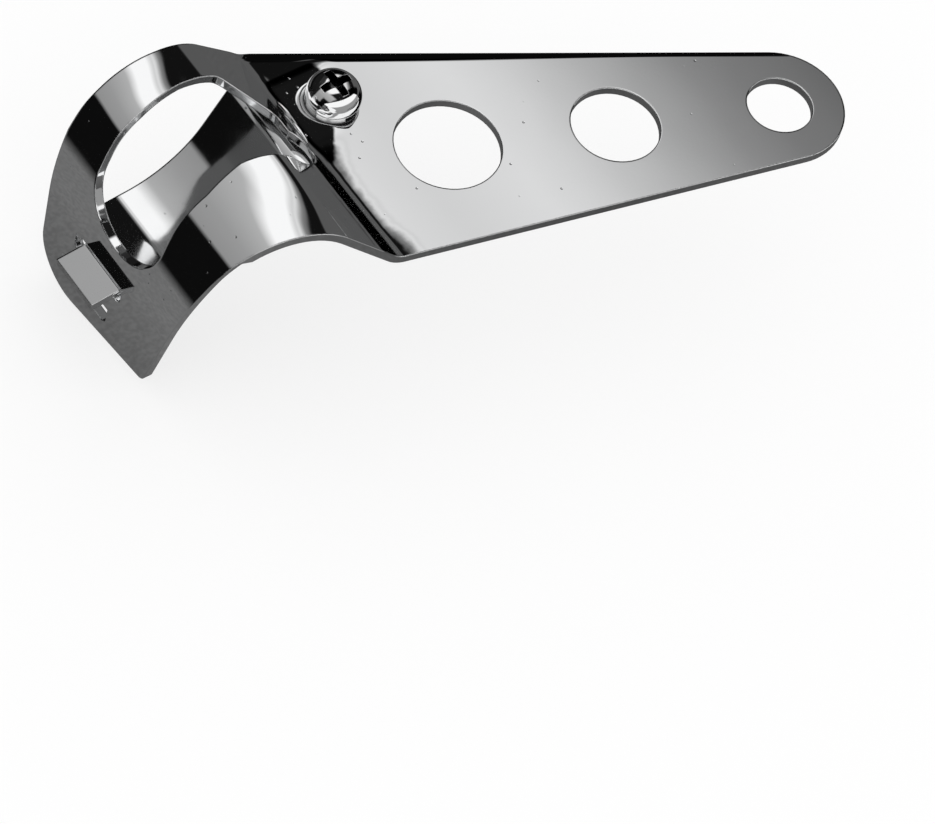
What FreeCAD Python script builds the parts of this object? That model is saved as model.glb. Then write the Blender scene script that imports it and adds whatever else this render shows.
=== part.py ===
import FreeCAD, Part
import Sketcher
import math
import os

# Headlight mounting bracket: a pressed sheet that wraps a fork tube, with a long arm that
# carries the lamp, and a strap that closes the wrap. The strap hooks through a slot in the
# sheet's flank and is pulled up under the arm by one screw, lock washer and nut.
# Frame, in millimetres: origin on the fork tube's axis, level with the clamp screw, +Y along
# the tube, +X towards the arm, +Z square to the arm, out of its polished face.

SIZES = {
    # sheet and tube
    "sheet_thickness": 2.0,
    "tube_radius": 15.0,
    # section of the plate: arm, concave bend, ramp, crest round the tube, shoulder, flank
    "arm_face_height": 2.7,
    "bend_radius": 3.8,
    "ramp_angle": 40.4,
    "crest_wrap": 72.0,
    "shoulder_radius": 80.0,
    "flank_depth": 46.0,
    # arm: three holes on one line, tapered edges, round end
    "arm_angle": 20.0,
    "hole_pitch": 37.0,
    "large_hole_x": 48.7,
    "large_hole_back": 20.8,
    "large_hole_diameter": 22.9,
    "middle_hole_diameter": 19.3,
    "end_hole_diameter": 14.3,
    "arm_end_radius": 14.2,
    "arm_taper": 7.6,
    # long edges of the blank round the wrap, trimmed from above as far as the handover
    "handover_angle": 135.0,
    "front_edge_slope": 0.23,
    "back_edge_arm": 19.7,
    "back_edge_crest": 20.2,
    "back_edge_flank": 21.4,
    "back_corner_radius": 12.0,
    # free end of the flank
    "free_edge_front": 39.3,
    "free_edge_slant": 9.7,
    "free_corner_radius": 2.6,
    "free_back_radius": 11.0,
    # window over the tube
    "window_front": 12.3,
    "window_front_left": 14.2,
    "window_back": 10.3,
    "window_back_left": 9.6,
    "window_end_x": 19.3,
    "window_corner_run": 9.4,
    "window_corner_radius": 4.0,
    "window_bottom_drop": 12.2,
    "window_slope_end": 9.0,
    # relief at the window's corner, where it runs into the bend
    "relief_radius": 4.7,
    "relief_x": 17.0,
    "relief_near": 8.0,
    "relief_far": 9.2,
    # slots for the strap's tab
    "slot_centre": 2.0,
    "slot_length": 17.4,
    "slot_width": 5.2,
    "slot_drop": 20.9,
    "slot_pitch": 11.2,
    "slot_step": 3.4,
    # clamp strap
    "strap_width": 28.0,
    "strap_centre": 1.0,
    "ear_radius": 11.0,
    "ear_bend_x": 21.0,
    "ear_bend_radius": 4.0,
    "strap_dive": 61.0,
    "strap_radius": 23.5,
    "strap_slope": 7.6,
    "strap_corner_radius": 2.0,
    "tab_width": 13.4,
    "tab_reach": 5.8,
    "tab_gap": 0.1,
    "strap_end_gap": 0.3,
    # clamp screw, lock washer and nut
    "screw_x": 33.5,
    "screw_radius": 3.0,
    "screw_length": 20.0,
    "screw_end_chamfer": 0.6,
    "screw_hole_diameter": 7.0,
    "head_radius": 6.0,
    "head_edge_radius": 0.3,
    "head_height": 4.9,
    "crown_radius": 4.32,
    "recess_length": 7.2,
    "recess_width": 1.8,
    "recess_depth": 2.6,
    "recess_taper": 12.0,
    "recess_corner_radius": 0.3,
    "washer_radius": 5.9,
    "washer_thickness": 1.6,
    "washer_gap": 0.2,
    "washer_corner_radius": 0.2,
    "washer_split": 1.2,
    "washer_lean": 0.8,
    "thread_gap": 0.05,
    "nut_across_flats": 10.0,
    "nut_thickness": 5.0,
    "nut_chamfer": 30.0,
}

# how far trimming cuts reach past the sheet
CLEAR = 90.0
# runs of the front edge's curve, seen from above and from the side
TOP_RUNS = 14
SIDE_RUNS = 10

doc = FreeCAD.newDocument("headlight_bracket")
sheet = doc.addObject("Spreadsheet::Sheet", "Sizes")
for row, (alias, value) in enumerate(SIZES.items(), start=1):
    sheet.set(f"A{row}", str(value))
    sheet.setAlias(f"A{row}", alias)
doc.recompute()


def size(name):
    return float(sheet.get(name))


def radians(name):
    return math.radians(size(name))


def new_body(name):
    body = doc.addObject("PartDesign::Body", name)
    body.Label = name
    body.Placement = FreeCAD.Placement()
    return body


def new_sketch(body, role, name, offset=None):
    """Sketch on one of the body's origin planes, moved along its normal by an expression."""
    plane = next(p for p in body.Origin.OriginFeatures if p.Role == role)
    sketch = body.newObject("Sketcher::SketchObject", name)
    sketch.AttachmentSupport = [(plane, "")]
    sketch.MapMode = "FlatFace"
    if offset:
        sketch.setExpression("AttachmentOffset.Base.z", offset)
    return sketch


def constrain(sketch, name, expression, *arguments):
    """Named constraint, bound to an expression over the sheet."""
    index = sketch.addConstraint(Sketcher.Constraint(*arguments))
    sketch.renameConstraint(index, name)
    sketch.setExpression("Constraints." + name, expression)


def line(sketch, start, end):
    return sketch.addGeometry(Part.LineSegment(point(start), point(end)))


def arc(sketch, centre, radius, start, end):
    """Arc from angle start to angle end, counter-clockwise, in radians."""
    circle = Part.Circle(point(centre), FreeCAD.Vector(0, 0, 1), radius)
    return sketch.addGeometry(Part.ArcOfCircle(circle, start, end))


def point(pair):
    return FreeCAD.Vector(pair[0], pair[1], 0)


def along(start, angle, distance):
    return (start[0] + distance * math.cos(angle), start[1] + distance * math.sin(angle))


def crossing(first, first_angle, second, second_angle):
    """Where two lines meet, each given by a point and an angle."""
    turn = math.sin(second_angle - first_angle)
    gap = (second[0] - first[0], second[1] - first[1])
    reach = (gap[0] * math.sin(second_angle) - gap[1] * math.cos(second_angle)) / turn
    return along(first, first_angle, reach)


def rounded_path(sketch, corners, closed=True):
    """Straight runs through corners given as (x, y, radius), each corner with its own arc."""
    count = len(corners)
    ends = []
    for index, (x, y, radius) in enumerate(corners):
        before = corners[index - 1]
        after = corners[(index + 1) % count]
        if radius == 0 or (not closed and index in (0, count - 1)):
            ends.append(((x, y), (x, y), None))
            continue
        toward = math.atan2(before[1] - y, before[0] - x)
        onward = math.atan2(after[1] - y, after[0] - x)
        opening = (onward - toward + math.pi) % (2 * math.pi) - math.pi
        run = radius / math.tan(abs(opening) / 2)
        middle = along((x, y), toward + opening / 2, radius / math.sin(abs(opening) / 2))
        ends.append((along((x, y), toward, run), along((x, y), onward, run), (middle, radius)))
    for index in range(count if closed else count - 1):
        line(sketch, ends[index][1], ends[(index + 1) % count][0])
    for start, end, bend in ends:
        if bend:
            middle, radius = bend
            angles = [math.atan2(p[1] - middle[1], p[0] - middle[0]) for p in (start, end)]
            if (angles[1] - angles[0]) % (2 * math.pi) > math.pi:
                angles.reverse()
            arc(sketch, middle, radius, *angles)
    return ends[0][0], ends[-1][1]


def pad(body, sketch, name, expression, midplane=False, reverse=False):
    feature = body.newObject("PartDesign::Pad", name)
    feature.Profile = sketch
    feature.Midplane = midplane
    feature.Reversed = reverse
    feature.setExpression("Length", expression)
    sketch.Visibility = False
    doc.recompute()
    return feature


def pocket(body, sketch, name, expression=None, midplane=False, reverse=False):
    """Cut the profile out, through everything where no depth is given; it has to cut."""
    volume = body.Shape.Volume
    feature = body.newObject("PartDesign::Pocket", name)
    feature.Profile = sketch
    feature.Midplane = midplane
    feature.Reversed = reverse
    if expression:
        feature.setExpression("Length", expression)
    else:
        feature.Type = "ThroughAll"
    sketch.Visibility = False
    doc.recompute()
    if body.Shape.Volume > volume - 1e-3:
        raise RuntimeError(name + " cuts nothing")
    return feature


def outer_radius():
    return size("tube_radius") + size("sheet_thickness")


def plate_joints():
    """Where the outer face of the plate's section changes from one form to the next."""
    ramp = radians("ramp_angle")
    wrap = radians("crest_wrap")
    crest_start = along((0, 0), math.pi / 2 - ramp, outer_radius())
    crest_end = along((0, 0), math.pi / 2 + wrap, outer_radius())
    face = size("arm_face_height")
    ramp_run = (crest_start[1] - face) / math.sin(ramp)
    corner_x = crest_start[0] + ramp_run * math.cos(ramp)
    tangent = size("bend_radius") * math.tan(ramp / 2)
    bend_start = (corner_x + tangent, face)
    bend_centre = (bend_start[0], face + size("bend_radius"))
    ramp_foot = along(bend_centre, -math.pi / 2 - ramp, size("bend_radius"))
    offset = outer_radius() - size("shoulder_radius")
    shoulder_centre = along((0, 0), math.pi / 2 + wrap, offset)
    flank_top = (shoulder_centre[0] - size("shoulder_radius"), shoulder_centre[1])
    return {
        "crest_start": crest_start,
        "crest_end": crest_end,
        "bend_start": bend_start,
        "bend_centre": bend_centre,
        "ramp_foot": ramp_foot,
        "shoulder_centre": shoulder_centre,
        "flank_top": flank_top,
    }


def travel_at_crest(angle):
    """Length along the outer face from the bend's start to an angle of the crest."""
    joints = plate_joints()
    bend = size("bend_radius") * radians("ramp_angle")
    ramp = math.dist(joints["ramp_foot"], joints["crest_start"])
    start = math.pi / 2 - radians("ramp_angle")
    return bend + ramp + outer_radius() * (angle - start)


def wrap_point(travel):
    """Point (x, z) of the outer face at a length from the bend's start, round the wrap."""
    joints = plate_joints()
    bend = size("bend_radius") * radians("ramp_angle")
    ramp = math.dist(joints["ramp_foot"], joints["crest_start"])
    crest = outer_radius() * (radians("ramp_angle") + radians("crest_wrap"))
    shoulder = size("shoulder_radius") * (math.pi / 2 - radians("crest_wrap"))
    if travel < bend:
        angle = -math.pi / 2 - travel / size("bend_radius")
        return along(joints["bend_centre"], angle, size("bend_radius"))
    travel -= bend
    if travel < ramp:
        return along(joints["ramp_foot"], math.pi - radians("ramp_angle"), travel)
    travel -= ramp
    if travel < crest:
        angle = math.pi / 2 - radians("ramp_angle") + travel / outer_radius()
        return along((0, 0), angle, outer_radius())
    travel -= crest
    if travel < shoulder:
        angle = math.pi / 2 + radians("crest_wrap") + travel / size("shoulder_radius")
        return along(joints["shoulder_centre"], angle, size("shoulder_radius"))
    travel -= shoulder
    return (joints["flank_top"][0], joints["flank_top"][1] - travel)


def hole_line(distance):
    """Point (x, y) on the line of lamp holes, at a distance from the large hole."""
    return along((size("large_hole_x"), -size("large_hole_back")), -radians("arm_angle"), distance)


def plate_section(body):
    """Thick section across the tube: every pair of faces one sheet thickness apart."""
    joints = plate_joints()
    thick = size("sheet_thickness")
    ramp = radians("ramp_angle")
    wrap = radians("crest_wrap")
    quarter = math.pi / 2
    face = size("arm_face_height")
    reach = hole_line(2 * size("hole_pitch"))[0] + size("arm_end_radius") + thick
    bottom = -size("flank_depth")
    flank = joints["flank_top"][0]
    sketch = new_sketch(body, "XZ_Plane", "plate_section")
    arm = line(sketch, (reach, face), joints["bend_start"])
    bend = arc(sketch, joints["bend_centre"], size("bend_radius"), -quarter - ramp, -quarter)
    slope = line(sketch, joints["ramp_foot"], joints["crest_start"])
    crest = arc(sketch, (0, 0), outer_radius(), quarter - ramp, quarter + wrap)
    shoulder = arc(sketch, joints["shoulder_centre"], size("shoulder_radius"), quarter + wrap, math.pi)
    side = line(sketch, joints["flank_top"], (flank, bottom))
    foot = line(sketch, (flank, bottom), (flank + thick, bottom))
    inner_side = line(sketch, (flank + thick, bottom), (flank + thick, joints["flank_top"][1]))
    inner_shoulder = arc(
        sketch, joints["shoulder_centre"], size("shoulder_radius") - thick, quarter + wrap, math.pi
    )
    inner_crest = arc(sketch, (0, 0), size("tube_radius"), quarter - ramp, quarter + wrap)
    inner_slope = line(
        sketch,
        along((0, 0), quarter - ramp, size("tube_radius")),
        along(joints["bend_centre"], -quarter - ramp, size("bend_radius") + thick),
    )
    inner_bend = arc(sketch, joints["bend_centre"], size("bend_radius") + thick, -quarter - ramp, -quarter)
    inner_arm = line(sketch, (joints["bend_start"][0], face - thick), (reach, face - thick))
    end = line(sketch, (reach, face - thick), (reach, face))
    tangents = [
        (arm, 2, bend, 2), (bend, 1, slope, 1), (slope, 2, crest, 1), (crest, 2, shoulder, 1),
        (shoulder, 2, side, 1), (inner_side, 2, inner_shoulder, 2), (inner_crest, 1, inner_slope, 1),
        (inner_slope, 2, inner_bend, 1), (inner_bend, 2, inner_arm, 1), (inner_shoulder, 1, inner_crest, 2),
    ]
    for joint in tangents:
        sketch.addConstraint(Sketcher.Constraint("Tangent", *joint))
    for joint in [(side, 2, foot, 1), (foot, 2, inner_side, 1), (inner_arm, 2, end, 1), (end, 2, arm, 1)]:
        sketch.addConstraint(Sketcher.Constraint("Coincident", *joint))
    centres = [
        (crest, 3, -1, 1), (inner_crest, 3, -1, 1),
        (inner_bend, 3, bend, 3), (inner_shoulder, 3, shoulder, 3),
    ]
    for joint in centres:
        sketch.addConstraint(Sketcher.Constraint("Coincident", *joint))
    for edge in (arm, inner_arm, foot):
        sketch.addConstraint(Sketcher.Constraint("Horizontal", edge))
    for edge in (side, inner_side, end):
        sketch.addConstraint(Sketcher.Constraint("Vertical", edge))
    constrain(sketch, "tube", "Sizes.tube_radius", "Radius", inner_crest, size("tube_radius"))
    constrain(sketch, "crest", "Sizes.tube_radius + Sizes.sheet_thickness", "Radius", crest, outer_radius())
    constrain(sketch, "bend", "Sizes.bend_radius", "Radius", bend, size("bend_radius"))
    constrain(
        sketch, "inner_bend", "Sizes.bend_radius + Sizes.sheet_thickness",
        "Radius", inner_bend, size("bend_radius") + thick,
    )
    constrain(sketch, "shoulder", "Sizes.shoulder_radius", "Radius", shoulder, size("shoulder_radius"))
    constrain(
        sketch, "shoulder_place",
        "(Sizes.shoulder_radius - Sizes.tube_radius - Sizes.sheet_thickness) * sin(Sizes.crest_wrap * 1 deg)",
        "DistanceX", -1, 1, shoulder, 3, joints["shoulder_centre"][0],
    )
    constrain(sketch, "ramp", "(180 - Sizes.ramp_angle) * 1 deg", "Angle", -1, 1, slope, 1, math.pi - ramp)
    constrain(sketch, "face", "Sizes.arm_face_height", "DistanceY", -1, 1, arm, 2, face)
    constrain(sketch, "depth", "-Sizes.flank_depth", "DistanceY", -1, 1, side, 2, bottom)
    sketch.addConstraint(Sketcher.Constraint("DistanceX", -1, 1, arm, 1, reach))
    return sketch


def front_edge(travel):
    """How far the blank's front edge lies from the screw's level, along the tube."""
    joints = plate_joints()
    end = hole_line(2 * size("hole_pitch"))
    direction = radians("arm_taper") - radians("arm_angle")
    tangent = along(end, direction - math.pi / 2, size("arm_end_radius"))
    start = crossing(tangent, direction, (joints["bend_start"][0], 0), math.pi / 2)
    return start[1] + size("front_edge_slope") * travel


def changeover():
    """Point (x, z) on the crest where trimming from above hands over to trimming from the side."""
    return along((0, 0), radians("handover_angle"), outer_radius())


def arm_outline(body):
    """Everything outside the arm, the ramp and the crest, seen from above."""
    joints = plate_joints()
    end = hole_line(2 * size("hole_pitch"))
    handover = changeover()
    bend_x = joints["bend_start"][0]
    radius = size("arm_end_radius")
    lower = radians("arm_taper") - radians("arm_angle")
    upper = -radians("arm_taper") - radians("arm_angle")
    lower_tangent = along(end, lower - math.pi / 2, radius)
    upper_tangent = along(end, upper + math.pi / 2, radius)
    sketch = new_sketch(body, "XY_Plane", "arm_outline")
    last = travel_at_crest(radians("handover_angle"))
    curve = []
    for run in range(TOP_RUNS + 1):
        travel = last * (1 - run / TOP_RUNS)
        curve.append(point((wrap_point(travel)[0], front_edge(travel))))
    spline = Part.BSplineCurve()
    spline.interpolate(curve)
    sketch.addGeometry(spline)
    line(sketch, (bend_x, front_edge(0)), lower_tangent)
    round_end = arc(sketch, end, radius, lower - math.pi / 2, upper + math.pi / 2)
    constrain(sketch, "end_radius", "Sizes.arm_end_radius", "Radius", round_end, radius)
    corner = crossing(upper_tangent, upper, (0, size("back_edge_arm")), 0)
    rounded_path(
        sketch,
        [
            (*upper_tangent, 0),
            (*corner, size("back_corner_radius")),
            (0, size("back_edge_arm"), 0),
            (handover[0], size("back_edge_crest"), 0),
            (handover[0], CLEAR, 0),
            (2 * CLEAR, CLEAR, 0),
            (2 * CLEAR, -CLEAR, 0),
            (handover[0], -CLEAR, 0),
            (handover[0], front_edge(last), 0),
        ],
        closed=False,
    )
    return sketch


def flank_outline(body):
    """Everything outside the shoulder and the flank, seen from the side: x is Y, y is Z."""
    handover = changeover()
    first = travel_at_crest(radians("handover_angle"))
    flank_travel = travel_at_crest(math.pi / 2 + radians("crest_wrap"))
    flank_travel += size("shoulder_radius") * (math.pi / 2 - radians("crest_wrap"))
    sketch = new_sketch(body, "YZ_Plane", "flank_outline")
    curve = []
    for run in range(SIDE_RUNS + 1):
        travel = first + (flank_travel - first) * run / SIDE_RUNS
        curve.append(point((front_edge(travel), wrap_point(travel)[1])))
    spline = Part.BSplineCurve()
    spline.interpolate(curve)
    sketch.addGeometry(spline)
    top = (curve[-1].x, curve[-1].y)
    edge_angle = math.atan2(-1, size("front_edge_slope"))
    slant = -radians("free_edge_slant")
    corner_travel = flank_travel + top[1] + size("free_edge_front")
    corner = (front_edge(corner_travel), -size("free_edge_front"))
    back = crossing(corner, slant, (size("back_edge_flank"), 0), math.pi / 2)
    rounded_path(
        sketch,
        [
            (*top, 0),
            (*along(top, edge_angle, math.dist(top, corner)), size("free_corner_radius")),
            (*back, size("free_back_radius")),
            (size("back_edge_flank"), 0, 0),
            (size("back_edge_crest"), handover[1], 0),
            (CLEAR, handover[1], 0),
            (CLEAR, -CLEAR, 0),
            (-CLEAR, -CLEAR, 0),
            (-CLEAR, handover[1], 0),
            (curve[0].x, handover[1], 0),
        ],
        closed=False,
    )
    return sketch


def window_top(body):
    """The window over the tube, seen from above, from the crest down the ramp."""
    handover = changeover()
    end_x = size("window_end_x")
    run = size("window_corner_run")
    sketch = new_sketch(body, "XY_Plane", "window_top")
    rounded_path(
        sketch,
        [
            (handover[0], -size("window_front_left"), 0),
            (-size("window_slope_end"), -size("window_front_left"), 0),
            (0, -size("window_front"), 0),
            (end_x, -size("window_front"), 0),
            (end_x, size("window_back") - run, size("window_corner_radius")),
            (end_x - run, size("window_back"), size("window_corner_radius")),
            (0, size("window_back"), 0),
            (-size("window_slope_end"), size("window_back_left"), 0),
            (handover[0], size("window_back_left"), 0),
        ],
    )
    return sketch


def window_relief(body):
    """Rounded relief at the window's front corner, beside the bend."""
    sketch = new_sketch(body, "XY_Plane", "window_relief")
    near = (size("relief_x"), -size("relief_near"))
    far = (size("relief_x"), -size("relief_far"))
    slot(sketch, near, far, size("relief_radius"))
    return sketch


def window_side(body):
    """The window's round end in the flank, seen from the side."""
    handover = changeover()
    front = -size("window_front_left")
    back = size("window_back_left")
    radius = (back - front) / 2
    centre = ((front + back) / 2, radius - size("window_bottom_drop"))
    sketch = new_sketch(body, "YZ_Plane", "window_side")
    line(sketch, (front, centre[1]), (front, handover[1]))
    line(sketch, (front, handover[1]), (back, handover[1]))
    line(sketch, (back, handover[1]), (back, centre[1]))
    arc(sketch, centre, radius, math.pi, 2 * math.pi)
    return sketch


def slot(sketch, first, second, radius):
    """Slot with round ends about two centres."""
    heading = math.atan2(second[1] - first[1], second[0] - first[0])
    quarter = math.pi / 2
    line(sketch, along(first, heading - quarter, radius), along(second, heading - quarter, radius))
    arc(sketch, second, radius, heading - quarter, heading + quarter)
    line(sketch, along(second, heading + quarter, radius), along(first, heading + quarter, radius))
    arc(sketch, first, radius, heading + quarter, heading + 3 * quarter)


def tab_slots(body):
    """Two slots across the flank: the tab uses the upper one, a bigger tube the lower one."""
    sketch = new_sketch(body, "YZ_Plane", "tab_slots")
    half = size("slot_length") / 2
    width = size("slot_width")
    corner = width / 2 - size("sheet_thickness") / 2
    for index in range(2):
        middle = size("slot_centre") + index * size("slot_step")
        top = -size("slot_drop") - index * size("slot_pitch")
        rounded_path(
            sketch,
            [
                (middle - half, top, 0),
                (middle - half, top - width, corner),
                (middle + half, top - width, corner),
                (middle + half, top, corner),
            ],
        )
    return sketch


def circle(sketch, centre, radius, name, expression):
    index = sketch.addGeometry(Part.Circle(point(centre), FreeCAD.Vector(0, 0, 1), radius))
    constrain(sketch, name, expression, "Radius", index, radius)
    return index


def plate_holes(body):
    """Three lamp holes down the arm and the clamp screw's hole."""
    sketch = new_sketch(body, "XY_Plane", "plate_holes")
    for index, name in enumerate(("large", "middle", "end")):
        radius = size(name + "_hole_diameter") / 2
        place = hole_line(index * size("hole_pitch"))
        circle(sketch, place, radius, name, f"Sizes.{name}_hole_diameter / 2")
    screw = circle(
        sketch, (size("screw_x"), 0), size("screw_hole_diameter") / 2,
        "screw", "Sizes.screw_hole_diameter / 2",
    )
    sketch.addConstraint(Sketcher.Constraint("PointOnObject", screw, 3, -1))
    constrain(sketch, "screw_place", "Sizes.screw_x", "DistanceX", -1, 1, screw, 3, size("screw_x"))
    return sketch


def bracket_plate():
    """The pressed sheet: section drawn out along the tube, then trimmed and pierced."""
    body = new_body("bracket_plate")
    section = plate_section(body)
    reach = "Sizes.large_hole_back + 2 * Sizes.hole_pitch * sin(Sizes.arm_angle * 1 deg)"
    pad(body, section, "plate_sheet", f"2 * ({reach} + 2 * Sizes.arm_end_radius)", midplane=True)
    pocket(body, arm_outline(body), "trim_arm", midplane=True)
    pocket(body, flank_outline(body), "trim_flank")
    pocket(body, window_top(body), "cut_window_top", expression="2 * Sizes.tube_radius", reverse=True)
    pocket(body, window_relief(body), "cut_relief", midplane=True)
    pocket(body, window_side(body), "cut_window_side")
    pocket(body, tab_slots(body), "cut_slots")
    pocket(body, plate_holes(body), "pierce_holes", midplane=True)
    return body


def strap_section(body):
    """Section of the strap: ear, dive past the tube, round under it, and out to the slot."""
    thick = size("sheet_thickness")
    quarter = math.pi / 2
    dive = radians("strap_dive")
    slope = radians("strap_slope")
    top = size("arm_face_height") - thick
    flank = plate_joints()["flank_top"][0]
    ear_end = size("screw_x") + size("ear_radius") + thick
    bend_centre = (size("ear_bend_x"), top - size("ear_bend_radius"))
    dive_start = along(bend_centre, quarter + dive, size("ear_bend_radius"))
    seat = (flank, -size("slot_drop") - size("slot_width") + size("tab_gap") + thick)
    corner = crossing(dive_start, math.pi + dive, seat, slope)
    run = size("strap_radius") * math.tan((dive - slope) / 2)
    round_start = along(corner, dive, run)
    round_end = along(corner, math.pi + slope, run)
    round_centre = along(round_end, quarter + slope, size("strap_radius"))
    tip = along(seat, math.pi + slope, size("tab_reach"))
    inner = size("ear_bend_radius") - thick
    outer = size("strap_radius") + thick
    sketch = new_sketch(body, "XZ_Plane", "strap_section")
    ear = line(sketch, (ear_end, top), (size("ear_bend_x"), top))
    bend = arc(sketch, bend_centre, size("ear_bend_radius"), quarter, quarter + dive)
    fall = line(sketch, dive_start, round_start)
    belly = arc(sketch, round_centre, size("strap_radius"), -quarter + slope, -quarter + dive)
    tail = line(sketch, round_end, tip)
    end = line(sketch, tip, along(tip, slope - quarter, thick))
    low_tail = line(sketch, along(tip, slope - quarter, thick), along(round_centre, -quarter + slope, outer))
    low_belly = arc(sketch, round_centre, outer, -quarter + slope, -quarter + dive)
    low_fall = line(
        sketch,
        along(round_centre, -quarter + dive, outer),
        along(bend_centre, quarter + dive, inner),
    )
    low_bend = arc(sketch, bend_centre, inner, quarter, quarter + dive)
    low_ear = line(sketch, (size("ear_bend_x"), top - thick), (ear_end, top - thick))
    close = line(sketch, (ear_end, top - thick), (ear_end, top))
    tangents = [
        (ear, 2, bend, 1), (bend, 2, fall, 1), (fall, 2, belly, 2), (belly, 1, tail, 1),
        (low_tail, 2, low_belly, 1), (low_belly, 2, low_fall, 1), (low_fall, 2, low_bend, 2),
        (low_bend, 1, low_ear, 1),
    ]
    for joint in tangents:
        sketch.addConstraint(Sketcher.Constraint("Tangent", *joint))
    for joint in [(tail, 2, end, 1), (end, 2, low_tail, 1), (low_ear, 2, close, 1), (close, 2, ear, 1)]:
        sketch.addConstraint(Sketcher.Constraint("Coincident", *joint))
    for joint in [(low_bend, 3, bend, 3), (low_belly, 3, belly, 3)]:
        sketch.addConstraint(Sketcher.Constraint("Coincident", *joint))
    sketch.addConstraint(Sketcher.Constraint("Horizontal", ear))
    sketch.addConstraint(Sketcher.Constraint("Horizontal", low_ear))
    sketch.addConstraint(Sketcher.Constraint("Vertical", close))
    sketch.addConstraint(Sketcher.Constraint("Perpendicular", end, tail))
    constrain(sketch, "bend", "Sizes.ear_bend_radius", "Radius", bend, size("ear_bend_radius"))
    constrain(sketch, "low_bend", "Sizes.ear_bend_radius - Sizes.sheet_thickness", "Radius", low_bend, inner)
    constrain(sketch, "belly", "Sizes.strap_radius", "Radius", belly, size("strap_radius"))
    constrain(sketch, "low_belly", "Sizes.strap_radius + Sizes.sheet_thickness", "Radius", low_belly, outer)
    constrain(sketch, "bend_place", "Sizes.ear_bend_x", "DistanceX", -1, 1, bend, 3, size("ear_bend_x"))
    constrain(
        sketch, "under_arm", "Sizes.arm_face_height - Sizes.sheet_thickness",
        "DistanceY", -1, 1, bend, 1, top,
    )
    return sketch


def tangent_angle(start, centre, radius, side):
    """Angle on a circle at which a line from the start point touches it."""
    heading = math.atan2(start[1] - centre[1], start[0] - centre[0])
    return heading + side * math.acos(radius / math.dist(start, centre))


def strap_outline(body):
    """Everything outside the strap seen from above: round ear, body, and tab for the slot."""
    near = size("strap_centre") - size("strap_width") / 2
    far = size("strap_centre") + size("strap_width") / 2
    shoulder_x = plate_joints()["flank_top"][0] + size("sheet_thickness") + size("strap_end_gap")
    tab_near = size("slot_centre") - size("tab_width") / 2
    tab_far = size("slot_centre") + size("tab_width") / 2
    tab_end = plate_joints()["flank_top"][0] - 2 * size("tab_reach")
    screw = (size("screw_x"), 0)
    radius = size("ear_radius")
    near_root = (size("ear_bend_x"), near)
    far_root = (size("ear_bend_x"), far)
    near_touch = tangent_angle(near_root, screw, radius, 1)
    far_touch = tangent_angle(far_root, screw, radius, -1)
    sketch = new_sketch(body, "XY_Plane", "strap_outline")
    arc(sketch, screw, radius, near_touch, far_touch)
    corner = size("strap_corner_radius")
    rounded_path(
        sketch,
        [
            (*along(screw, far_touch, radius), 0),
            (*far_root, corner),
            (shoulder_x, far, corner),
            (shoulder_x, tab_far, 0),
            (tab_end, tab_far, 0),
            (tab_end, tab_near, 0),
            (shoulder_x, tab_near, 0),
            (shoulder_x, near, corner),
            (*near_root, corner),
            (*along(screw, near_touch, radius), 0),
        ],
        closed=False,
    )
    rounded_path(
        sketch,
        [(-CLEAR, -CLEAR, 0), (CLEAR, -CLEAR, 0), (CLEAR, CLEAR, 0), (-CLEAR, CLEAR, 0)],
    )
    return sketch


def clamp_strap():
    """The strap: section drawn out along the tube, then trimmed to its outline and pierced."""
    body = new_body("clamp_strap")
    width = "Sizes.strap_width + 4 * Sizes.strap_centre"
    pad(body, strap_section(body), "strap_sheet", width, midplane=True)
    pocket(body, strap_outline(body), "trim_strap", midplane=True)
    hole = new_sketch(body, "XY_Plane", "strap_hole")
    centre = circle(
        hole, (size("screw_x"), 0), size("screw_hole_diameter") / 2,
        "screw", "Sizes.screw_hole_diameter / 2",
    )
    hole.addConstraint(Sketcher.Constraint("PointOnObject", centre, 3, -1))
    constrain(hole, "screw_place", "Sizes.screw_x", "DistanceX", -1, 1, centre, 3, size("screw_x"))
    pocket(body, hole, "pierce_ear", midplane=True)
    return body


def turned(body, name, corners):
    """Solid of revolution about the body's Z axis, from half a section as (r, z, radius)."""
    sketch = new_sketch(body, "XZ_Plane", name + "_section")
    rounded_path(sketch, corners)
    feature = body.newObject("PartDesign::Revolution", name)
    feature.Profile = sketch
    feature.ReferenceAxis = (sketch, ["V_Axis"])
    feature.Angle = 360
    sketch.Visibility = False
    doc.recompute()
    return feature


def at_screw(body, height):
    """Put a fastener on the clamp screw's axis, its own zero at a named height."""
    body.setExpression("Placement.Base.x", "Sizes.screw_x * 1 mm")
    body.setExpression("Placement.Base.z", f"({height}) * 1 mm")


def clamp_screw():
    """Pan-head screw with a cross recess; zero is the underside of its head."""
    body = new_body("clamp_screw")
    radius = size("screw_radius")
    chamfer = size("screw_end_chamfer")
    length = size("screw_length")
    head = size("head_radius")
    height = size("head_height")
    turned(
        body,
        "screw_blank",
        [
            (0, -length, 0),
            (radius - chamfer, -length, 0),
            (radius, -length + chamfer, 0),
            (radius, 0, 0),
            (head, 0, size("head_edge_radius")),
            (head, height, size("crown_radius")),
            (0, height, 0),
        ],
    )
    long = size("recess_length") / 2
    half = size("recess_width") / 2
    root = size("recess_corner_radius")
    recess = new_sketch(body, "XY_Plane", "recess_outline", "Sizes.head_height * 1 mm")
    rounded_path(
        recess,
        [
            (long, -half, 0), (long, half, 0), (half, half, root), (half, long, 0),
            (-half, long, 0), (-half, half, root), (-long, half, 0), (-long, -half, 0),
            (-half, -half, root), (-half, -long, 0), (half, -long, 0), (half, -half, root),
        ],
    )
    cut = pocket(body, recess, "cross_recess", expression="Sizes.recess_depth")
    cut.setExpression("TaperAngle", "-Sizes.recess_taper")
    at_screw(body, "Sizes.arm_face_height + Sizes.washer_thickness")
    return body


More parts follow.
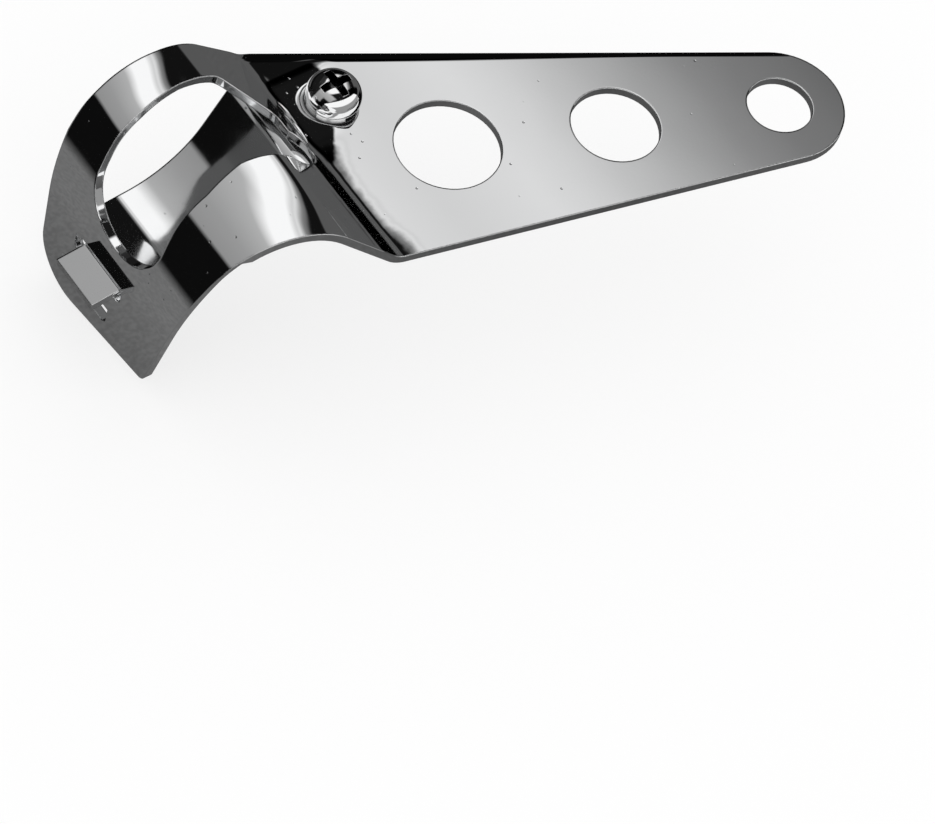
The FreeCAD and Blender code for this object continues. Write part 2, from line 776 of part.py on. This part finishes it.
def lock_washer():
    """Spring washer under the head, pressed flat, with its slanted split at the far side."""
    body = new_body("lock_washer")
    inside = size("screw_radius") + size("washer_gap")
    outside = size("washer_radius")
    thick = size("washer_thickness")
    corner = size("washer_corner_radius")
    turned(
        body,
        "washer_ring",
        [(inside, 0, 0), (outside, 0, corner), (outside, thick, corner), (inside, thick, 0)],
    )
    split = new_sketch(body, "XZ_Plane", "washer_split")
    half = size("washer_split") / 2
    lean = size("washer_lean")
    low = -thick / 2
    high = 3 * thick / 2
    rounded_path(
        split,
        [(-half - lean, low, 0), (half - lean, low, 0), (half + lean, high, 0), (-half + lean, high, 0)],
    )
    pocket(body, split, "split_ring", expression="2 * Sizes.washer_radius")
    at_screw(body, "Sizes.arm_face_height")
    return body


def clamp_nut():
    """Hexagon nut under the strap's ear; zero is its bearing face, its body hangs below."""
    body = new_body("clamp_nut")
    flats = size("nut_across_flats") / 2
    reach = flats / math.cos(math.pi / 6)
    thick = size("nut_thickness")
    outline = new_sketch(body, "XY_Plane", "nut_outline")
    rounded_path(outline, [(*along((0, 0), math.radians(60 * turn), reach), 0) for turn in range(6)])
    pad(body, outline, "nut_block", "Sizes.nut_thickness", reverse=True)
    fall = (reach - flats) * math.tan(radians("nut_chamfer"))
    over = 2 * reach - flats
    for name, level, drop in (("top", 0, -1), ("bottom", -thick, 1)):
        sketch = new_sketch(body, "XZ_Plane", name + "_chamfer_section")
        rounded_path(
            sketch,
            [(flats, level, 0), (over, level, 0), (over, level + 2 * drop * fall, 0)],
        )
        groove = body.newObject("PartDesign::Groove", name + "_chamfer")
        groove.Profile = sketch
        groove.ReferenceAxis = (sketch, ["V_Axis"])
        groove.Angle = 360
        sketch.Visibility = False
        doc.recompute()
    bore = new_sketch(body, "XY_Plane", "nut_bore")
    radius = size("screw_radius") + size("thread_gap")
    circle(bore, (0, 0), radius, "bore", "Sizes.screw_radius + Sizes.thread_gap")
    pocket(body, bore, "tap_nut", midplane=True)
    at_screw(body, "Sizes.arm_face_height - 2 * Sizes.sheet_thickness")
    return body


parts = [bracket_plate(), clamp_strap(), clamp_screw(), lock_washer(), clamp_nut()]
doc.recompute()

for item in doc.Objects:
    if {"Invalid", "Error"} & set(item.State):
        raise RuntimeError(item.Name + " failed: " + str(item.State))
os.makedirs("parts", exist_ok=True)
for body in parts:
    shape = body.Shape
    if shape.isNull() or not shape.isValid() or len(shape.Solids) != 1:
        raise RuntimeError(body.Label + " has no single valid solid")
    shape.exportStep(f"parts/{body.Label}.step")
    print(body.Label, "volume", round(shape.Volume, 1), "mm3")
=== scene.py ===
import math

import bmesh
import bpy
from mathutils import Matrix, Vector


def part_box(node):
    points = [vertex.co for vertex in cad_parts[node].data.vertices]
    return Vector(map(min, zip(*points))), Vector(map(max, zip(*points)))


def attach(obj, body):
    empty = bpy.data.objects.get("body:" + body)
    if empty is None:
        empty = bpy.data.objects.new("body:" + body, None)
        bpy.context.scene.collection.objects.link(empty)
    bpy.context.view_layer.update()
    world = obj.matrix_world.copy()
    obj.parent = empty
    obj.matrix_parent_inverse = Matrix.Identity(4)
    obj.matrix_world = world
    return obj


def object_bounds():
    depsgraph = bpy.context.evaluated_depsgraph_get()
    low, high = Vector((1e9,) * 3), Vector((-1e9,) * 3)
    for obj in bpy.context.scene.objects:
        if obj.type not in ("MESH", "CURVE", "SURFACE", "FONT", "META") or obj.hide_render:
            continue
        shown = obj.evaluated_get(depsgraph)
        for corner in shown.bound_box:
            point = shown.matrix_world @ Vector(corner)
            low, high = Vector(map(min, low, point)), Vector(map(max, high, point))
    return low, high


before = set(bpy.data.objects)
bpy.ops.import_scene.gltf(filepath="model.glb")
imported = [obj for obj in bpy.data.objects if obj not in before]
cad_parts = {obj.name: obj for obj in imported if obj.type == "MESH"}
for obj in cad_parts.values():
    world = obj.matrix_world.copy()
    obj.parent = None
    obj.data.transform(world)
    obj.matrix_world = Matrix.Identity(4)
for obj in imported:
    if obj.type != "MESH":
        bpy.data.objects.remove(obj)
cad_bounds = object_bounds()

MM = 0.001

# Camera
CAMERA_AT = Vector((-381.03, -415.48, 733.87)) * MM
LOOKS_AT = Vector((13.33, -77.45, 2.7)) * MM
CAMERA_ROLL = math.radians(16.888)
LENS = 173.3
SENSOR = 36

# Floor and the cards round the object
FLOOR_GAP = 0.3 * MM
FLOOR_SIZE = 6.0
TENT_RADIUS = 500 * MM
TENT_LENGTH = 1300 * MM
TENT_FLOOR_GAP = 0.1 * MM
TENT_SIDES = 240
TENT_SKIRT = 6
CARD_HALF = 600 * MM
NEAR_DARK = -20 * MM
NEAR_FADE = 60 * MM
NEAR_TONE = 0.01
LOW_BAND = 60 * MM
FAR_DARK = 300 * MM
FAR_FADE = 40 * MM
FAR_TONE = 0.03
FRONT_CARD_AT = -170 * MM
FRONT_CARD_TOP = 220 * MM
WINDOW_ANGLES = (92, 126)
WINDOW_SOFTNESS = 0.2
WINDOW_END = -330 * MM
WINDOW_FADE = 120 * MM
CARD_STEP = (60 * MM, 75 * MM, 0.3, 1.0)
MOTTLE_SCALE = 900.0
MOTTLE = (0.3, 0.7, 0.85, 1.15)
FLOOR_GLOW = 0.72

# Tone of the cards by the angle about the tube's axis: 0 is along the arm, 90 is overhead
CARD_TONES = (
    (-180, 0.004),
    (-149, 0.004),
    (-145, 0.16),
    (-132, 0.16),
    (-124, 0.14),
    (-117, 0.12),
    (-100, 0.16),
    (-60, 0.10),
    (-26, 0.07),
    (-18, 0.095),
    (21, 0.095),
    (24, 0.006),
    (39, 0.006),
    (43, 0.165),
    (45, 0.20),
    (46.6, 0.27),
    (48.5, 0.40),
    (50, 0.52),
    (53, 0.76),
    (56.5, 0.66),
    (61, 0.85),
    (64, 1.0),
    (88, 1.0),
    (103, 0.45),
    (135, 0.33),
    (160, 0.29),
    (166, 0.004),
    (180, 0.004),
)
BACK_CARD = 0.010
FRONT_CARD = 1.0

# Chrome
CHROME = (0.93, 0.935, 0.94, 1.0)
EDGE_RADIUS = 0.5 * MM
SCREW_EDGE_RADIUS = 0.25 * MM
SMALL_EDGE_RADIUS = 0.2 * MM
WAVE_SCALE = 55.0
GRAIN_SCALE = 1400.0
GRAIN_HEIGHT = 0.0008 * MM
PIT_CELLS = 330.0
PIT_SIZE = (0.03, 0.10, 1.0, 0.0)
PIT_RARITY = (36, 40, 0.5, 0.88)
HAZE_SCALE = 120.0
HAZE_RANGE = (0.35, 0.7)
HAZE_GAIN = 1.8
# Painted shade in the screw's recess and the gaps of its washer: occlusion reach, darkest tone and occlusion
# range
PAINTED_SHADE_REACH = 2.5 * MM
PAINTED_SHADE_TONE = 0.06
PAINTED_SHADE_RANGE = (0.45, 0.93)

# Turns and roll of the sheet's shading, set for its reflections, in degrees and millimetres
WEDGE_TILT = 13
CORNER_TILT = 21
CREST_TILT = 4
LOWER_CREST_TILT = -24
UPPER_CREST_TILT = 4
UPPER_RIM_TILT = 10
FLAP_TILT = -22
RUN_TILT = 24
BACK_EDGE_START = 30.7
BACK_EDGE_SLOPE = 0.523
ROLL_WIDTH_WIDE = 1.6
ROLL_WIDTH_NARROW = 0.25
ROLL_DEPTH = 0.27
ROLL_NARROWS = (40, 110)
ROLL_START = (21, 25)

# Where each of those turns fades in or out, in millimetres along the arm (X) or the tube (Y)
WEDGE_EDGE_Y = (-20, 9, 24.5, 37)
WEDGE_FOOT_Y = (-38, -30, 1.8, 0.0)
WEDGE_FADE = (-3.3, 3.7, 1.0, 0.0)
RAGGED_SCALE = 0.45
RAGGED_WIDTH = 1.6
BEND_SHIFT_Y = (-4, 4, 0.0, 5.0)
PAST_BEND_X = (17, 20.5)
WEDGE_NEAR_Y = (-12, -6, 1.0, 0.0)
WEDGE_FAR_Y = (8, 10)
CORNER_X = (20.5, 22)
CORNER_NEAR_Y = (-17, -12)
CORNER_FAR_Y = (10, 13, 1.0, 0.0)
LOWER_NEAR_Y = (-38, -13)
LOWER_FAR_Y = (-9, -2, 1.0, 0.0)
LOWER_START_X = (-13, 3)
LOWER_END_X = (7, 13, 1.0, 0.0)
UPPER_RIM_Y = (10, 20)
UPPER_NEAR_Y = (4, 9)
UPPER_START_X = (-16, -8)
UPPER_END_X = (0, 5, 1.0, 0.0)
CREST_START_X = (-10, -3)
CREST_END_X = (2, 6, 1.0, 0.0)
FLAP_END_X = (-19.5, -18.5)
RUN_START_X = (-18.5, -18)
RUN_END_X = (-8.5, -5, 1.0, 0.0)

# Screw thread, on the part of the shank that shows below the nut
THREAD_PITCH = 1.0 * MM
THREAD_HEIGHT = 0.22 * MM
THREAD_STEPS = 40
THREAD_TIP = 0.9 * MM
THREAD_IN_NUT = 0.6 * MM
THREAD_FADE = 0.4
THREAD_CREST = 0.07
THREAD_FOOT = 0.42
THREAD_SUNK = -0.05
SHANK_RADIUS = 3.0 * MM


def make_view():
    bpy.context.scene.view_settings.view_transform = "Standard"


def make_camera():
    data = bpy.data.cameras.new("camera")
    data.lens = LENS
    data.sensor_width = SENSOR
    data.sensor_fit = "HORIZONTAL"
    data.clip_start = 0.01
    data.clip_end = 20
    camera = bpy.data.objects.new("camera", data)
    bpy.context.scene.collection.objects.link(camera)
    ahead = (LOOKS_AT - CAMERA_AT).normalized()
    level = ahead.cross(Vector((0, 0, 1))).normalized()
    above = level.cross(ahead)
    right = level * math.cos(CAMERA_ROLL) + above * math.sin(CAMERA_ROLL)
    up = right.cross(ahead)
    turn = Matrix((right, up, -ahead)).transposed()
    camera.matrix_world = Matrix.Translation(CAMERA_AT) @ turn.to_4x4()
    bpy.context.scene.camera = camera


class Nodes:
    """A material's node tree, with short calls for adding nodes and links."""

    def __init__(self, tree):
        self.tree = tree
        tree.nodes.clear()

    def add(self, kind, settings=None, **inputs):
        node = self.tree.nodes.new(kind)
        for key, value in (settings or {}).items():
            setattr(node, key, value)
        for key, value in inputs.items():
            self.set(node, key.replace("_", " "), value)
        return node

    def set(self, node, key, value):
        socket = node.inputs[int(key)] if key.isdigit() else node.inputs[key]
        if isinstance(value, bpy.types.NodeSocket):
            self.tree.links.new(value, socket)
        else:
            socket.default_value = value

    def maths(self, operation, a, b=0.0):
        node = self.tree.nodes.new("ShaderNodeMath")
        node.operation = operation
        self.set(node, "0", a)
        self.set(node, "1", b)
        return node.outputs[0]

    def step(self, value, low, high, start=0.0, end=1.0):
        node = self.add("ShaderNodeMapRange", {"interpolation_type": "SMOOTHSTEP"})
        names = ("Value", "From Min", "From Max", "To Min", "To Max")
        for key, setting in zip(names, (value, low, high, start, end)):
            self.set(node, key, setting)
        return node.outputs[0]


def new_material(name):
    material = bpy.data.materials.new(name)
    material.use_nodes = True
    return material, Nodes(material.node_tree)


def product(n, *values):
    total = values[0]
    for value in values[1:]:
        total = n.maths("MULTIPLY", total, value)
    return total


def bump(n, height, distance, normal, invert=False):
    node = n.add("ShaderNodeBump", {"invert": invert}, Height=height, Strength=1.0, Distance=distance)
    n.set(node, "Normal", normal)
    return node.outputs[0]


def sheet_tilt(n, x, y):
    """Turns of the plate's shading about the Y and the X axis, in radians. Its solid stays as it is."""
    jag = n.add("ShaderNodeTexNoise", Scale=RAGGED_SCALE, Detail=4.0)
    n.set(jag, "Vector", n.add("ShaderNodeCombineXYZ", X=x, Y=y).outputs[0])
    ragged = n.maths("MULTIPLY", n.maths("SUBTRACT", jag.outputs[0], 0.5), RAGGED_WIDTH)
    edge = n.maths("ADD", n.step(y, *WEDGE_EDGE_Y), n.step(y, *WEDGE_FOOT_Y))
    beyond = n.maths("SUBTRACT", x, n.maths("ADD", edge, ragged))
    inside = n.step(beyond, *WEDGE_FADE)
    beside = n.maths("MAXIMUM", n.step(y, *WEDGE_NEAR_Y), n.step(y, *WEDGE_FAR_Y))
    past_bend = n.step(n.maths("SUBTRACT", x, n.step(y, *BEND_SHIFT_Y)), *PAST_BEND_X)
    wedge = product(n, inside, past_bend, beside, math.radians(WEDGE_TILT))
    corner = product(
        n, inside, n.step(x, *CORNER_X), n.step(y, *CORNER_NEAR_Y), n.step(y, *CORNER_FAR_Y),
        math.radians(CORNER_TILT),
    )
    lower = product(
        n, n.step(y, *LOWER_NEAR_Y), n.step(y, *LOWER_FAR_Y),
        n.step(x, *LOWER_START_X), n.step(x, *LOWER_END_X), math.radians(LOWER_CREST_TILT),
    )
    at_rim = math.radians(UPPER_CREST_TILT + UPPER_RIM_TILT)
    rim = n.step(y, *UPPER_RIM_Y, at_rim, math.radians(UPPER_CREST_TILT))
    upper = product(n, rim, n.step(y, *UPPER_NEAR_Y), n.step(x, *UPPER_START_X), n.step(x, *UPPER_END_X))
    crest = product(n, n.step(x, *CREST_START_X), n.step(x, *CREST_END_X), math.radians(CREST_TILT))
    return n.maths("ADD", n.maths("ADD", wedge, crest), n.maths("ADD", lower, upper)), corner


def back_roll(n, x, y):
    """Height lost along the arm's back edge, where the blanking die rolled it over, in millimetres."""
    line = n.maths("SUBTRACT", BACK_EDGE_START, n.maths("MULTIPLY", x, BACK_EDGE_SLOPE))
    inward = n.maths("MULTIPLY", n.maths("SUBTRACT", line, y), math.cos(math.atan(BACK_EDGE_SLOPE)))
    width = n.step(x, *ROLL_NARROWS, ROLL_WIDTH_WIDE, ROLL_WIDTH_NARROW)
    rest = n.maths("MAXIMUM", n.maths("SUBTRACT", width, inward), 0.0)
    drop = n.maths("DIVIDE", product(n, rest, rest, -ROLL_DEPTH), width)
    return n.maths("MULTIPLY", drop, n.step(x, *ROLL_START))


def strap_tilt(n, x, y):
    """Turns of the shading on the strap's outer flap and on its run beside the flank, in radians."""
    flap = n.step(x, *FLAP_END_X, math.radians(FLAP_TILT), 0.0)
    run = product(n, n.step(x, *RUN_START_X), n.step(x, *RUN_END_X), math.radians(RUN_TILT))
    return n.maths("ADD", flap, run), 0.0


def crevice_painted_shade(n):
    """Painted shade: the chrome's colour turns dark by ambient occlusion in the recess and in the gaps of the
    screw and its washer.
    """
    open_sky = n.add("ShaderNodeAmbientOcclusion", {"samples": 8}, Distance=PAINTED_SHADE_REACH).outputs["AO"]
    return n.step(open_sky, *PAINTED_SHADE_RANGE, PAINTED_SHADE_TONE, CHROME[0])


def chrome_material(name, edge, wave, pit, roughness, tilt=None, drop=None, painted_crevice_shade=False):
    """Bright chrome with slightly rounded edges, a faint waviness, fine grain and a few pits."""
    material, n = new_material(name)
    place = n.add("ShaderNodeTexCoord").outputs["Object"]
    large = n.add("ShaderNodeVectorMath", {"operation": "SCALE"}, Vector=place, Scale=1 / MM)
    x, y, _ = n.add("ShaderNodeSeparateXYZ", Vector=large.outputs[0]).outputs
    normal = n.add("ShaderNodeBevel", {"samples": 8}, Radius=edge).outputs[0]
    if tilt:
        for axis, turn in zip(("Y_AXIS", "X_AXIS"), tilt(n, x, y)):
            turned = n.add("ShaderNodeVectorRotate", {"rotation_type": axis}, Vector=normal, Angle=turn)
            normal = turned.outputs[0]
    if drop:
        normal = bump(n, drop(n, x, y), MM, normal)
    waves = n.add("ShaderNodeTexNoise", Vector=place, Scale=WAVE_SCALE, Detail=1.0)
    normal = bump(n, waves.outputs[0], wave, normal)
    grain = n.add("ShaderNodeTexNoise", Vector=place, Scale=GRAIN_SCALE, Detail=2.0)
    normal = bump(n, grain.outputs[0], GRAIN_HEIGHT, normal)
    cells = n.add("ShaderNodeTexVoronoi", Vector=place, Scale=PIT_CELLS, Randomness=1.0)
    chance = n.add("ShaderNodeSeparateColor", Color=cells.outputs["Color"]).outputs[0]
    rare = n.maths("GREATER_THAN", chance, n.step(x, *PIT_RARITY))
    pits = product(n, n.step(cells.outputs["Distance"], *PIT_SIZE), rare)
    normal = bump(n, pits, pit, normal, invert=True)
    haze = n.add("ShaderNodeTexNoise", Vector=place, Scale=HAZE_SCALE, Detail=3.0)
    shader = n.add("ShaderNodeBsdfPrincipled", Metallic=1.0)
    # With the crevice flag set, the base colour is darkened by ambient occlusion: painted shade in the recess
    # and gaps
    n.set(shader, "Base Color", crevice_painted_shade(n) if painted_crevice_shade else CHROME)
    n.set(shader, "Roughness", n.step(haze.outputs[0], *HAZE_RANGE, roughness, roughness * HAZE_GAIN))
    n.set(shader, "Normal", normal)
    out = n.add("ShaderNodeOutputMaterial")
    n.set(out, "Surface", shader.outputs[0])
    return material


def paint(obj, material):
    """Puts one material on every slot of an object."""
    if not obj.material_slots:
        obj.data.materials.append(material)
    for slot in obj.material_slots:
        slot.material = material


def link(name, mesh):
    obj = bpy.data.objects.new(name, mesh)
    bpy.context.scene.collection.objects.link(obj)
    return obj


def make_floor(level):
    mesh = bpy.data.meshes.new("floor")
    half = FLOOR_SIZE / 2
    corners = [(-half, -half, level), (half, -half, level), (half, half, level), (-half, half, level)]
    mesh.from_pydata(corners, [], [(0, 1, 2, 3)])
    floor = link("floor", mesh)
    material, n = new_material("white_floor")
    shader = n.add("ShaderNodeBsdfPrincipled", Roughness=0.9)
    n.set(shader, "Base Color", (0.99, 0.99, 0.99, 1))
    n.set(shader, "Specular IOR Level", 0.0)
    path = n.add("ShaderNodeLightPath").outputs
    mirrored = n.maths("MAXIMUM", path["Is Glossy Ray"], path["Is Transmission Ray"])
    seen = n.maths("MAXIMUM", path["Is Camera Ray"], mirrored)
    glow = n.add("ShaderNodeEmission", Color=(1, 1, 1, 1), Strength=1.0)
    mix = n.add("ShaderNodeMixShader", Fac=n.maths("MULTIPLY", seen, FLOOR_GLOW))
    n.set(mix, "1", shader.outputs[0])
    n.set(mix, "2", glow.outputs[0])
    out = n.add("ShaderNodeOutputMaterial")
    n.set(out, "Surface", mix.outputs[0])
    paint(floor, material)


def make_tent(level):
    """A long tunnel of studio cards round the tube's axis, which only the chrome sees."""
    bottom = level + TENT_FLOOR_GAP
    mesh = bpy.data.meshes.new("card_tent")
    b = bmesh.new()
    ends = []
    for y in (-TENT_LENGTH / 2, TENT_LENGTH / 2):
        ring = []
        for k in range(TENT_SIDES):
            angle = 2 * math.pi * k / TENT_SIDES
            x, z = TENT_RADIUS * math.cos(angle), TENT_RADIUS * math.sin(angle)
            if z < bottom:
                x, z = x * min(1.0, TENT_SKIRT * bottom / z), bottom
            ring.append(b.verts.new((x, y, z)))
        ends.append(ring)
    for k in range(TENT_SIDES):
        m = (k + 1) % TENT_SIDES
        b.faces.new((ends[0][k], ends[0][m], ends[1][m], ends[1][k]))
    b.to_mesh(mesh)
    b.free()
    tent = link("card_tent", mesh)
    material, n = new_material("card_tones")
    place = n.add("ShaderNodeTexCoord").outputs["Object"]
    parts = n.add("ShaderNodeSeparateXYZ", Vector=place).outputs
    angle = n.maths("ARCTAN2", parts[2], parts[0])
    turn = n.maths("ADD", n.maths("DIVIDE", angle, 2 * math.pi), 0.5)
    ramp = n.add("ShaderNodeValToRGB", Fac=turn)
    stops = ramp.color_ramp.elements
    stops[0].position, stops[1].position = 0.0, 1.0
    stops[0].color = stops[1].color = (CARD_TONES[0][1],) * 3 + (1,)
    for degrees, tone in CARD_TONES[1:-1]:
        stop = stops.new((degrees + 180) / 360)
        stop.color = (tone, tone, tone, 1)
    cloth = n.add("ShaderNodeTexNoise", Vector=place, Scale=MOTTLE_SCALE, Detail=4.0)
    mottle = n.step(cloth.outputs[0], *MOTTLE)
    below = n.step(parts[2], bottom - MM, bottom + 2 * MM, 1.0, 0.0)
    grain = n.maths("ADD", 1.0, n.maths("MULTIPLY", below, n.maths("SUBTRACT", mottle, 1.0)))
    near_end = n.step(parts[1], NEAR_DARK, NEAR_DARK + NEAR_FADE, NEAR_TONE, 1.0)
    near_end = n.maths("MAXIMUM", near_end, n.step(parts[2], 0.0, LOW_BAND, 1.0, 0.0))
    first, last = (math.radians(a) for a in WINDOW_ANGLES)
    window = product(
        n, n.step(angle, first, first + WINDOW_SOFTNESS), n.step(angle, last, last + WINDOW_SOFTNESS, 1.0, 0.0),
        n.step(parts[1], WINDOW_END, WINDOW_END + WINDOW_FADE),
    )
    near_end = n.maths("MAXIMUM", near_end, window)
    far_end = n.step(parts[1], FAR_DARK, FAR_DARK + FAR_FADE, 1.0, FAR_TONE)
    grain = product(n, grain, near_end, far_end)
    glow = n.add("ShaderNodeEmission", Color=ramp.outputs[0], Strength=grain)
    out = n.add("ShaderNodeOutputMaterial")
    n.set(out, "Surface", glow.outputs[0])
    as_card(tent, material)


def as_card(card, material):
    """Only mirror reflections see a card, so the floor and the background stay plain."""
    material.cycles.emission_sampling = "NONE"
    paint(card, material)
    card.visible_camera = False
    card.visible_diffuse = False
    card.visible_shadow = False
    card.visible_transmission = False
    card.visible_volume_scatter = False


def make_end_card(name, y, top, tone):
    """A flat card that stands across the tunnel."""
    mesh = bpy.data.meshes.new(name)
    corners = [
        (-CARD_HALF, y, -CARD_HALF), (CARD_HALF, y, -CARD_HALF), (CARD_HALF, y, top), (-CARD_HALF, y, top),
    ]
    mesh.from_pydata(corners, [], [(0, 1, 2, 3)])
    material, n = new_material(name + "_tone")
    place = n.add("ShaderNodeTexCoord").outputs["Object"]
    height = n.add("ShaderNodeSeparateXYZ", Vector=place).outputs[2]
    strength = n.step(height, *CARD_STEP)
    glow = n.add("ShaderNodeEmission", Color=(tone, tone, tone, 1), Strength=strength)
    n.set(n.add("ShaderNodeOutputMaterial"), "Surface", glow.outputs[0])
    as_card(link(name, mesh), material)


def make_world():
    world = bpy.data.worlds.new("studio")
    bpy.context.scene.world = world
    world.use_nodes = True
    n = Nodes(world.node_tree)
    light = n.add("ShaderNodeBackground", Color=(1, 1, 1, 1), Strength=1.0)
    out = n.add("ShaderNodeOutputWorld")
    n.set(out, "Surface", light.outputs[0])


def make_thread():
    """A helical ridge on the end of the screw's shank, below the nut."""
    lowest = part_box("clamp_screw")[0]
    nut_low, nut_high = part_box("clamp_nut")
    axis_x = (nut_low.x + nut_high.x) / 2
    axis_y = (nut_low.y + nut_high.y) / 2
    start = lowest.z + THREAD_TIP
    end = nut_low.z + THREAD_IN_NUT
    turns = (end - start) / THREAD_PITCH
    steps = int(turns * THREAD_STEPS)
    mesh = bpy.data.meshes.new("screw_thread")
    b = bmesh.new()
    rings = []
    for k in range(steps + 1):
        angle = 2 * math.pi * k / THREAD_STEPS
        middle = start + THREAD_PITCH * k / THREAD_STEPS
        fade = min(1.0, k / (THREAD_FADE * THREAD_STEPS), (steps - k) / (THREAD_FADE * THREAD_STEPS))
        profile = (
            (-THREAD_FOOT, THREAD_SUNK), (-THREAD_CREST, fade),
            (THREAD_CREST, fade), (THREAD_FOOT, THREAD_SUNK),
        )
        ring = []
        for offset, height in profile:
            r = SHANK_RADIUS + THREAD_HEIGHT * height
            z = middle + THREAD_PITCH * offset
            ring.append(b.verts.new((axis_x + r * math.cos(angle), axis_y + r * math.sin(angle), z)))
        rings.append(ring)
    for first, second in zip(rings, rings[1:]):
        for m in range(3):
            b.faces.new((first[m], first[m + 1], second[m + 1], second[m]))
    b.faces.new(rings[0])
    b.faces.new(list(reversed(rings[-1])))
    bmesh.ops.recalc_face_normals(b, faces=b.faces)
    b.to_mesh(mesh)
    b.free()
    thread = link("screw_thread", mesh)
    thread.data.shade_smooth()
    finish = chrome_material(
        "thread_chrome", edge=0.02 * MM, wave=0.004 * MM, pit=0.002 * MM, roughness=0.10,
    )
    paint(thread, finish)
    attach(thread, "root")


make_view()
make_camera()
make_world()
make_floor(cad_bounds[0].z - FLOOR_GAP)
make_tent(cad_bounds[0].z - FLOOR_GAP)
make_end_card("card_back", TENT_LENGTH / 2, TENT_RADIUS, BACK_CARD)
make_end_card("card_front", FRONT_CARD_AT, FRONT_CARD_TOP, FRONT_CARD)

FINISHES = {
    "bracket_plate": chrome_material(
        "plate_chrome_finish", EDGE_RADIUS, wave=0.022 * MM, pit=0.05 * MM, roughness=0.035,
        tilt=sheet_tilt, drop=back_roll,
    ),
    "clamp_strap": chrome_material(
        "strap_chrome_finish", EDGE_RADIUS, wave=0.030 * MM, pit=0.03 * MM, roughness=0.06, tilt=strap_tilt,
    ),
    # The screw and the lock washer carry painted shade in their recess and gaps
    "clamp_screw": chrome_material(
        "screw_chrome_painted_shade", SCREW_EDGE_RADIUS, wave=0.008 * MM, pit=0.006 * MM, roughness=0.05,
        painted_crevice_shade=True,
    ),
    "lock_washer": chrome_material(
        "washer_chrome_painted_shade", SMALL_EDGE_RADIUS, wave=0.008 * MM, pit=0.006 * MM, roughness=0.08,
        painted_crevice_shade=True,
    ),
    "clamp_nut": chrome_material(
        "nut_chrome_finish", SMALL_EDGE_RADIUS, wave=0.008 * MM, pit=0.006 * MM, roughness=0.06,
    ),
}
for node, finish in FINISHES.items():
    paint(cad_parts[node], finish)
make_thread()
